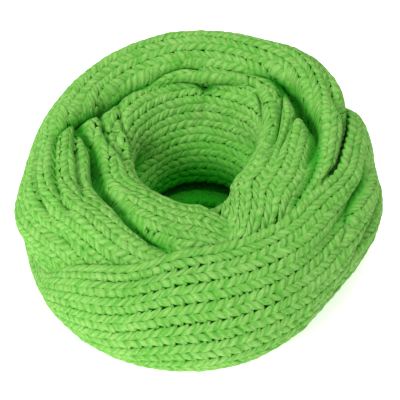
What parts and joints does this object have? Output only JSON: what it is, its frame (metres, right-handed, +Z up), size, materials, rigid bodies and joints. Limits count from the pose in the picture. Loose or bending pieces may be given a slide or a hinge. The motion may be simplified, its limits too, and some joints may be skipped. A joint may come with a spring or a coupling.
{
  "type": "infinity scarf",
  "caption": "Chunky rib-knit infinity scarf, wound twice into a soft ring that stands by itself round an open neck hollow, with the outer turn lapped over the folded inner turn.",
  "frame": {"origin": "centre of the ring's outline, on the surface that the scarf rests on", "axes": "+Z up through the neck hollow, -Y towards the front, where the outer turn laps over the inner one, +X to the right seen from the front"},
  "size_m": [0.3331, 0.3484, 0.13],
  "materials": {
    "green_yarn": "thick, softly fuzzy two-ply yarn in bright lime green"
  },
  "bodies": {
    "root": {"outer_turn_front": "green_yarn", "outer_turn_right": "green_yarn", "outer_turn_back": "green_yarn", "outer_turn_left": "green_yarn", "inner_turn_front": "green_yarn", "inner_turn_left": "green_yarn", "inner_turn_back": "green_yarn", "inner_turn_right": "green_yarn", "inner_turn_tuck": "green_yarn"}
  },
  "joints": []
}
